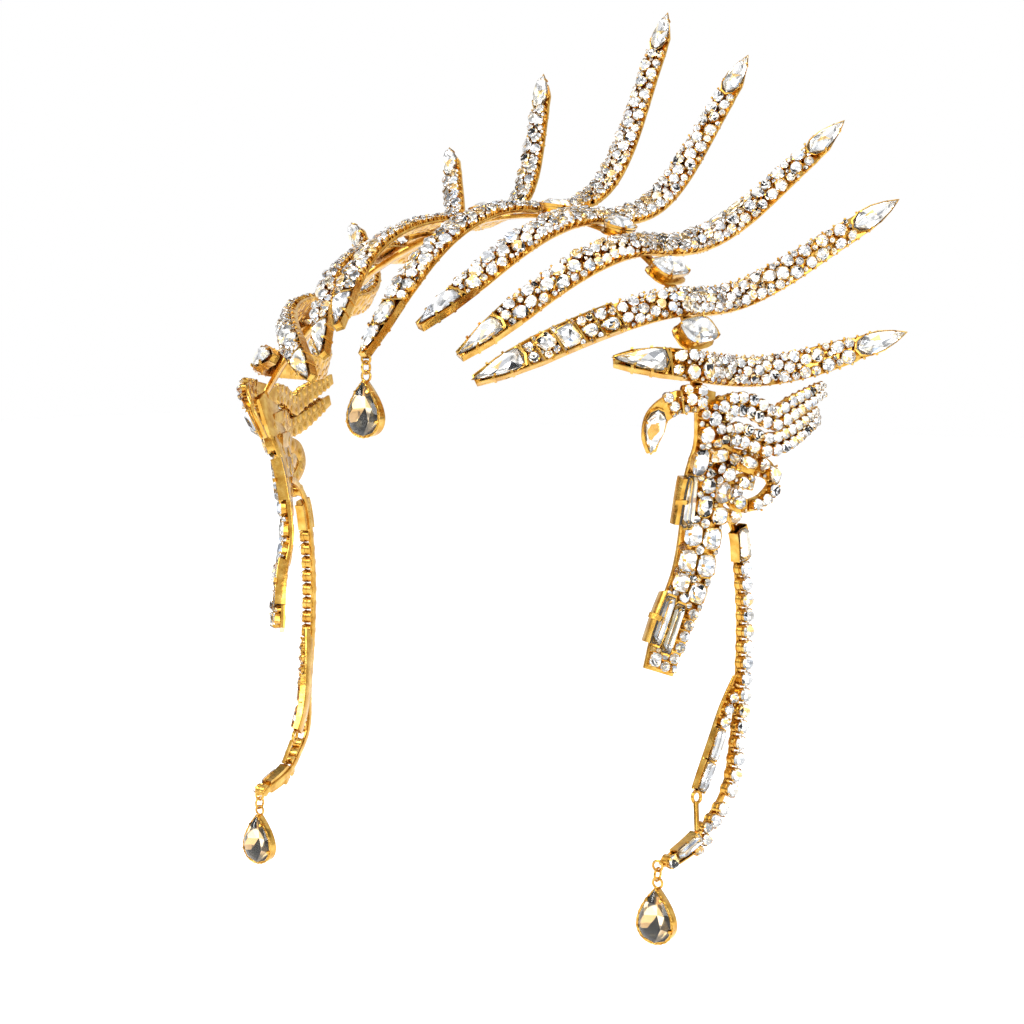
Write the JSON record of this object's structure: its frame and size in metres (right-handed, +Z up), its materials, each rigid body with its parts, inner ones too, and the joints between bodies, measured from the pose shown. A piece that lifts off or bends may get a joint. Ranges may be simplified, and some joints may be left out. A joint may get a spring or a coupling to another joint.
{
  "type": "fringe tiara",
  "caption": "Rigid gold headpiece for a head: curved stone-set rays cross a headband and sweep up behind, with a limbed cluster at each side and swinging pear drops",
  "frame": {"origin": "the point where the crown of the headband rests on the top of the head", "axes": "+X to the wearer's left, +Y to the back of the head, +Z up"},
  "size_m": [0.2784, 0.2202, 0.3493],
  "materials": {
    "gold": "polished gold plate over brass",
    "crystal": "clear foil-backed cut crystal",
    "champagne_crystal": "champagne foil-backed cut crystal"
  },
  "bodies": {
    "root": {"headband": "gold", "ray_centre": "gold", "ray_left_1": "gold", "ray_left_2": "gold", "ray_left_3": "gold", "ray_left_4": "gold", "ray_right_1": "gold", "ray_right_2": "gold", "ray_right_3": "gold", "ray_right_4": "gold", "ray_centre_stones": "crystal", "ray_left_1_stones": "crystal", "ray_left_2_stones": "crystal", "ray_left_3_stones": "crystal", "ray_left_4_stones": "crystal", "ray_right_1_stones": "crystal", "ray_right_2_stones": "crystal", "ray_right_3_stones": "crystal", "ray_right_4_stones": "crystal", "tip_stone_centre": "crystal", "tip_stone_left_1": "crystal", "tip_stone_left_2": "crystal", "tip_stone_left_3": "crystal", "tip_stone_left_4": "crystal", "tip_stone_right_1": "crystal", "tip_stone_right_2": "crystal", "tip_stone_right_3": "crystal", "tip_stone_right_4": "crystal", "band_stone_left_1": "crystal", "band_stone_left_2": "crystal", "band_stone_left_3": "crystal", "band_stone_left_4": "crystal", "band_stone_right_1": "crystal", "band_stone_right_2": "crystal", "band_stone_right_3": "crystal", "band_stone_right_4": "crystal", "side_frame_left": "gold", "side_frame_right": "gold", "upper_stones_left": "crystal", "upper_stones_right": "crystal", "limb_stones_left": "crystal", "limb_stones_right": "crystal", "hook_stone_left": "crystal", "hook_stone_right": "crystal"},
    "drop_front": {"jump_ring_front": "gold", "drop_setting_front": "gold", "drop_stone_front": "champagne_crystal"},
    "drop_left": {"jump_ring_left": "gold", "drop_setting_left": "gold", "drop_stone_left": "champagne_crystal"},
    "drop_right": {"jump_ring_right": "gold", "drop_setting_right": "gold", "drop_stone_right": "champagne_crystal"}
  },
  "joints": [
    {"name": "drop_front_swing", "type": "hinge", "parent": "root", "child": "drop_front", "pos_m": [-0.00384, -0.096, -0.055], "axis": [1, 0, 0], "range_deg": [-40, 40]},
    {"name": "drop_left_swing", "type": "hinge", "parent": "root", "child": "drop_left", "pos_m": [0.08986, -0.05521, -0.22971], "axis": [1, 0, 0], "range_deg": [-40, 40]},
    {"name": "drop_right_swing", "type": "hinge", "parent": "root", "child": "drop_right", "pos_m": [-0.08986, -0.05521, -0.22971], "axis": [1, 0, 0], "range_deg": [-40, 40]}
  ]
}
